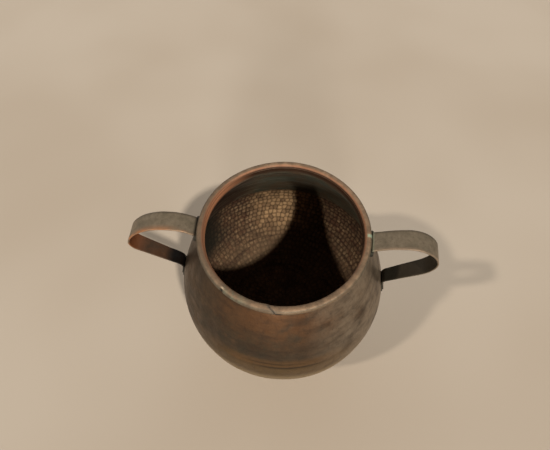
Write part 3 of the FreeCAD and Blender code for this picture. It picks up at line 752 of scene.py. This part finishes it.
def rim_copper():
    """The roll: a tan crown, duller outside, with painted shade on the outside and at the left. Along its
    inner top it is partly rubbed to copper and partly a painted highlight, with painted light below that at
    the left and painted shade elsewhere. It has solder by the right strap, painted shade in the gaps under
    the lip, a painted highlight on the front of the outer lip, a dark seam, and a nick painted dark as shade
    with a painted highlight on its burr."""
    paint = Finish("rim_copper")
    turn = paint.attribute("turn")
    blotch = paint.noise(7 * MM, 5, 0.62, contrast=(0.36, 0.66))
    crown = paint.mix(blotch, colour(136, 109, 83), colour(108, 87, 66))
    # The outer face is greyer than the crown, and it also has painted shade.
    outer = paint.mix(blotch, colour(98, 86, 67), colour(80, 70, 54))
    base = paint.mix(paint.span(turn, 0.6, 1.3), outer, crown)
    # Painted shade: the whole roll is darker at the left.
    base = paint.mix(paint.times(paint.facing(170, 80), 0.5), base, colour(84, 70, 54))
    # Copper along the inner top, partly rubbed and partly a painted highlight; none at the front.
    back = paint.sum("SUBTRACT", 1.0, paint.facing(-85, 80))
    band = paint.times(paint.span(turn, 1.9, 2.25), back, paint.noise(20 * MM, 3, contrast=(0.2, 0.5)))
    base = paint.mix(paint.times(band, 0.9), base, colour(130, 88, 60))
    # Painted highlight along the front of the outer lip.
    lip = paint.times(paint.span(turn, -0.1, 0.25), paint.span(turn, 0.9, 0.5), paint.facing(-76, 46))
    base = paint.mix(paint.times(lip, 0.6), base, colour(118, 91, 64))
    # Below the inner top: painted light at the left and painted shade elsewhere.
    below = paint.mix(paint.facing(180, 70), colour(54, 31, 17), colour(196, 132, 92))
    base = paint.mix(paint.times(paint.span(turn, 2.55, 2.95), 0.9), base, below)
    green = paint.times(paint.facing(-123, 12), paint.noise(5 * MM, 4, contrast=(0.42, 0.6)))
    base = paint.mix(paint.times(green, 0.5), base, colour(98, 100, 80))
    solder = paint.times(paint.facing(-7.3, 1.7), paint.noise(3 * MM, 4, contrast=(0.3, 0.45)))
    solder = paint.times(solder, paint.span(turn, 2.1, 1.7))
    base = paint.mix(paint.times(solder, 0.8), base, colour(134, 150, 126))
    seam = paint.times(paint.attribute("seam"), paint.span(turn, 2.9, 2.2))
    base = paint.mix(paint.times(seam, 0.7), base, colour(66, 62, 54))
    # Painted shade in the gaps under the lip.
    for azimuth, half_width in LIP_GAP_SHADES:
        gap_shade = paint.times(paint.facing(azimuth, half_width), paint.span(turn, 0.5, 0.2))
        base = paint.mix(paint.times(gap_shade, 0.9), base, colour(16, 11, 7))
    speck = paint.noise(1.8 * MM, 4, 0.7, contrast=(0.62, 0.72))
    base = paint.mix(paint.times(speck, 0.5), base, colour(70, 52, 38))
    # Painted shade in the nick.
    nick = paint.times(paint.attribute("nick"), paint.span(turn, 0.85, 0.6))
    base = paint.mix(paint.times(nick, 0.95), base, colour(12, 9, 6))
    # Painted highlight on the burr above the nick.
    burr = paint.times(paint.attribute("nick"), paint.span(turn, 0.95, 1.1), paint.span(turn, 1.6, 1.4))
    base = paint.mix(paint.times(burr, 0.8), base, colour(176, 156, 130))
    roughness = paint.sum("ADD", 0.56, paint.times(blotch, 0.1))
    paint.bumps((paint.noise(1.4 * MM, 4, 0.6), 0.1 * MM), (paint.noise(5 * MM, 2), 0.4 * MM))
    metallic = paint.sum("SUBTRACT", 0.5, paint.times(solder, 0.4))
    return paint.set(base=base, metallic=metallic, roughness=roughness)


def inside_copper():
    """Copper just under the rim, partly rubbed and partly painted light: bright at the left, with painted
    shade elsewhere. Then a smooth shoulder with painted shade towards the back left, then hammered copper
    below it: each mark is lighter in its middle and darker in its borders. It is polished at the back and
    darker low down at the left."""
    paint = Finish("inside_copper")
    tone, groove, depth = paint.attribute("tone"), paint.attribute("groove"), paint.attribute("depth")
    hammer_depth = RIM_HEIGHT - HAMMER_TOP
    cloud = paint.noise(22 * MM, 4, contrast=(0.35, 0.66))
    marked = paint.mix(cloud, colour(102, 77, 56), colour(80, 61, 47))
    light = paint.times(paint.attribute("pit"), paint.span(tone, 0.0, 1.0, 0.25, 0.9))
    light = paint.times(light, paint.noise(13 * MM, 4, 0.65, contrast=(0.28, 0.60)))
    marked = paint.mix(light, marked, colour(176, 144, 108))
    rust = paint.noise(9 * MM, 4, 0.65, contrast=(0.48, 0.62))
    marked = paint.mix(paint.times(rust, 0.6), marked, colour(92, 56, 42))
    wipe = paint.noise(34 * MM, 4, 0.6, stretch=(1, 1, 6), contrast=(0.50, 0.62))
    marked = paint.mix(paint.times(wipe, 0.5), marked, colour(62, 44, 34))
    grit = paint.noise(2.4 * MM, 4, 0.7, contrast=(0.45, 0.62))
    marked = paint.mix(paint.times(grit, 0.6), marked, colour(66, 52, 40))
    polished = paint.times(paint.facing(88, 28), paint.span(depth, 180 * MM, 145 * MM))
    polished = paint.times(polished, paint.span(tone, 0.1, 0.7, 0.4, 1.0))
    marked = paint.mix(paint.times(polished, 0.7), marked, colour(206, 166, 120))
    marked = paint.mix(paint.times(groove, 0.8), marked, colour(38, 27, 19))
    bottom = paint.mix(paint.times(wipe, 0.7), colour(100, 80, 58), colour(58, 43, 31))
    marked = paint.mix(paint.span(depth, hammer_depth + 45 * MM, 200 * MM, 0.0, 0.6), marked, bottom)
    # Darker low down at the left.
    darker_low_left = paint.times(paint.facing(154, 26), paint.span(depth, 165 * MM, 135 * MM))
    marked = paint.mix(paint.times(darker_low_left, 0.95), marked, colour(34, 32, 25))
    smooth = paint.mix(cloud, colour(78, 75, 60), colour(88, 71, 52))
    # Painted shade: the smooth shoulder is darker towards the back left.
    smooth = paint.mix(paint.facing(142, 38), smooth, colour(62, 43, 31))
    streak = paint.noise(26 * MM, 4, 0.6, stretch=(1, 1, 9), contrast=(0.48, 0.68))
    smooth = paint.mix(paint.times(streak, 0.5), smooth, colour(122, 116, 98))
    hammered = paint.span(depth, hammer_depth - MM, hammer_depth + MM)
    base = paint.mix(hammered, smooth, marked)
    # Just under the rim: copper at the left that is partly rubbed and partly painted light, and painted shade
    # elsewhere.
    rubbed = paint.mix(paint.facing(180, 70), colour(56, 32, 18), colour(200, 136, 96))
    base = paint.mix(paint.times(paint.span(depth, 10 * MM, 3 * MM), 0.9), base, rubbed)
    speck = paint.noise(1.7 * MM, 4, 0.7, contrast=(0.67, 0.73))
    base = paint.mix(paint.times(speck, 0.5), base, colour(150, 138, 116))
    paint.bumps((grit, 0.12 * MM))
    metallic = paint.span(depth, 3 * MM, 14 * MM, 0.5, 0.1)
    return paint.set(base=base, metallic=metallic, roughness=0.75, specular=0.12)


def strap_copper():
    """The handles: grey-brown outside, rubbed to copper along the front edge, dark inside, with painted shade
    at the heel, and where each strap starts a painted shadow on the left strap and a painted highlight on the
    right.
    """
    paint = Finish("strap_copper")
    edge, inner, along = paint.attribute("edge"), paint.attribute("inner"), paint.attribute("along")
    blotch = paint.noise(11 * MM, 5, 0.62, contrast=(0.35, 0.66))
    grain = paint.noise(3.2 * MM, 4, 0.65, contrast=(0.4, 0.7))
    base = paint.mix(blotch, colour(124, 109, 88), colour(104, 92, 73))
    base = paint.mix(paint.times(grain, 0.45), base, colour(86, 74, 58))
    near = paint.span(paint.attribute("front"), 0.2, 0.6)
    worn = paint.times(edge, near, paint.noise(16 * MM, 3, 0.6, contrast=(0.35, 0.6)))
    worn = paint.times(worn, paint.span(along, 0.62, 0.5))
    rubbed = paint.mix(paint.facing(180, 60), colour(132, 110, 88), colour(168, 112, 70))
    base = paint.mix(paint.times(worn, 0.75), base, rubbed)
    broad = paint.times(paint.span(paint.attribute("front"), 0.35, 0.85), paint.facing(180, 60))
    broad = paint.times(broad, paint.span(along, 0.06, 0.16), paint.span(along, 0.42, 0.32))
    base = paint.mix(paint.times(broad, 0.45), base, colour(150, 102, 66))
    far = paint.times(edge, paint.sum("SUBTRACT", 1.0, near))
    base = paint.mix(paint.times(far, 0.6), base, colour(62, 50, 38))
    lining = paint.mix(paint.facing(180, 60), colour(50, 43, 32), colour(92, 60, 38))
    lining = paint.mix(paint.times(blotch, 0.6), lining, colour(54, 44, 32))
    bow = paint.times(paint.span(along, 0.38, 0.48), paint.span(along, 0.62, 0.52), paint.facing(180, 60))
    lining = paint.mix(paint.times(bow, 0.8), lining, colour(136, 78, 42))
    base = paint.mix(paint.times(inner, 0.92), base, lining)
    # Where each strap starts: a painted shadow on the left strap and a painted highlight on the right one.
    start = paint.mix(paint.facing(180, 60), colour(128, 126, 104), colour(22, 19, 14))
    base = paint.mix(paint.times(paint.span(along, 0.018, 0.006), 0.8), base, start)
    # Painted shade at the heel, near black on the left strap.
    heel = paint.mix(paint.facing(180, 60), colour(50, 46, 36), colour(6, 5, 4))
    base = paint.mix(paint.times(paint.span(along, 0.72, 0.80), 0.95), base, heel)
    speck = paint.noise(1.6 * MM, 4, 0.7, contrast=(0.62, 0.70))
    base = paint.mix(paint.times(speck, 0.6), base, colour(56, 44, 34))
    roughness = paint.sum("ADD", 0.45, paint.times(blotch, 0.1))
    paint.bumps((paint.noise(1.3 * MM, 4, 0.6), 0.12 * MM), (paint.noise(9 * MM, 2, 0.5), 0.5 * MM))
    return paint.set(base=base, metallic=0.55, roughness=roughness)


def solder_metal():
    """Old hard solder: lumpy and dull, from olive grey to brown."""
    paint = Finish("solder_metal")
    blotch = paint.noise(3 * MM, 5, 0.65, contrast=(0.35, 0.65))
    base = paint.mix(blotch, colour(62, 60, 46), colour(36, 31, 24))
    paint.bumps((paint.noise(1.6 * MM, 4, 0.6), 0.4 * MM))
    return paint.set(base=base, metallic=0.3, roughness=0.6)


def wire_iron():
    """The wire in the roll: dark iron with rust."""
    paint = Finish("wire_iron")
    rust = paint.noise(2.2 * MM, 5, 0.65, contrast=(0.4, 0.62))
    base = paint.mix(rust, colour(44, 40, 36), colour(84, 50, 30))
    paint.bumps((paint.noise(1.0 * MM, 4, 0.6), 0.2 * MM))
    return paint.set(base=base, metallic=0.55, roughness=0.62)


def floor_plaster():
    """The plain pale floor, faintly clouded."""
    paint = Finish("floor_plaster")
    cloud = paint.noise(500 * MM, 2, contrast=(0.3, 0.7))
    base = paint.mix(cloud, colour(166, 153, 137), colour(158, 144, 127))
    return paint.set(base=base, roughness=0.75, specular=0.25)


# ---------------------------------------------------------------- floor, light and camera

def build_floor():
    half = FLOOR_HALF
    corners = [(-half, -half, 0), (half, -half, 0), (half, half, 0), (-half, half, 0)]
    mesh = bpy.data.meshes.new("floor")
    mesh.from_pydata(corners, [], [(0, 1, 2, 3)])
    mesh.materials.append(floor_plaster())
    floor = bpy.data.objects.new("floor", mesh)
    bpy.context.scene.collection.objects.link(floor)


def add_sun(name, azimuth, elevation, strength, softness, tint):
    """A distant lamp whose light travels towards this azimuth, down at this elevation, in degrees."""
    lamp = bpy.data.lights.new(name, "SUN")
    lamp.energy = strength
    lamp.angle = math.radians(softness)
    lamp.color = tint
    turn, drop = math.radians(azimuth), math.radians(elevation)
    travel = Vector((math.cos(turn) * math.cos(drop), math.sin(turn) * math.cos(drop), -math.sin(drop)))
    thing = bpy.data.objects.new(name, lamp)
    thing.rotation_mode = "QUATERNION"
    thing.rotation_quaternion = travel.to_track_quat("-Z", "Y")
    bpy.context.scene.collection.objects.link(thing)


def build_room():
    """A room that is bright behind the pot and low in front of it. The camera sees a plain pale wall."""
    world = bpy.data.worlds.new("room")
    world.use_nodes = True
    nodes, links = world.node_tree.nodes, world.node_tree.links
    direction = nodes.new("ShaderNodeTexCoord").outputs["Generated"]
    split = nodes.new("ShaderNodeSeparateXYZ")
    links.new(direction, split.inputs[0])

    def glow(letter, start, end, high):
        """High where the view's share along this axis is beyond end, and nothing before start."""
        node = nodes.new("ShaderNodeMapRange")
        node.interpolation_type = "SMOOTHSTEP"
        links.new(split.outputs[letter], node.inputs["Value"])
        for name, value in (("From Min", start), ("From Max", end), ("To Min", 0), ("To Max", high)):
            node.inputs[name].default_value = value
        return node.outputs[0]

    def combine(operation, first, second):
        node = nodes.new("ShaderNodeMath")
        node.operation = operation
        for socket, value in zip(node.inputs, (first, second)):
            if isinstance(value, bpy.types.NodeSocket):
                links.new(value, socket)
            else:
                socket.default_value = value
        return node.outputs[0]

    behind = glow("Y", start=0.1, end=0.7, high=0.6)
    in_front = glow("Y", start=0.0, end=-0.4, high=1.0)
    low_in_front = combine("MULTIPLY", in_front, glow("Z", start=0.41, end=0.31, high=0.8))
    strength = combine("ADD", 0.04, combine("ADD", behind, low_in_front))
    room = nodes["Background"]
    room.inputs["Color"].default_value = ROOM_COLOUR
    links.new(strength, room.inputs["Strength"])
    wall = nodes.new("ShaderNodeBackground")
    wall.inputs["Color"].default_value = WALL_COLOUR
    seen = nodes.new("ShaderNodeMixShader")
    links.new(nodes.new("ShaderNodeLightPath").outputs["Is Camera Ray"], seen.inputs[0])
    links.new(room.outputs[0], seen.inputs[1])
    links.new(wall.outputs[0], seen.inputs[2])
    links.new(seen.outputs[0], nodes["World Output"].inputs["Surface"])
    bpy.context.scene.world = world
    bpy.context.scene.view_settings.view_transform = "Standard"


def place_camera():
    """Looks down into the pot at 58 degrees from a little in front of it."""
    pitch, roll = CAMERA_PITCH, CAMERA_ROLL
    ahead = Vector((0, math.cos(pitch), -math.sin(pitch)))
    level = Vector((1, 0, 0))
    above = level.cross(ahead)
    right = level * math.cos(roll) + above * math.sin(roll)
    up = above * math.cos(roll) - level * math.sin(roll)
    data = bpy.data.cameras.new("camera")
    data.sensor_width = CAMERA_SENSOR
    data.lens = CAMERA_LENS
    data.clip_start = 10 * MM
    camera = bpy.data.objects.new("camera", data)
    turn = Matrix((right, up, -ahead)).transposed().to_4x4()
    camera.matrix_world = Matrix.Translation(CAMERA_PLACE) @ turn
    bpy.context.scene.collection.objects.link(camera)
    bpy.context.scene.camera = camera


# ---------------------------------------------------------------- the pot

def refinish(node, material):
    """Gives a CAD node a new material and leaves its shape alone."""
    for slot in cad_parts[node].material_slots:
        slot.material = material


shell = build_shell([outside_copper(), rim_copper(), inside_copper()])
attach(shell, "root")
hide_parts("bowl_body")

strap_finish = strap_copper()
for side, shape in STRAPS.items():
    strap = build_strap("strap_" + side, shape, strap_finish)
    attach(strap, "root")
    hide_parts("handle_" + side)

solder = solder_metal()
for joint in ("braze_right_upper", "braze_right_lower", "braze_left_upper", "braze_left_lower"):
    refinish(joint, solder)
refinish("rim_wire", wire_iron())

build_floor()
for name, lamp in LAMPS.items():
    add_sun(name, **lamp)
build_room()
place_camera()
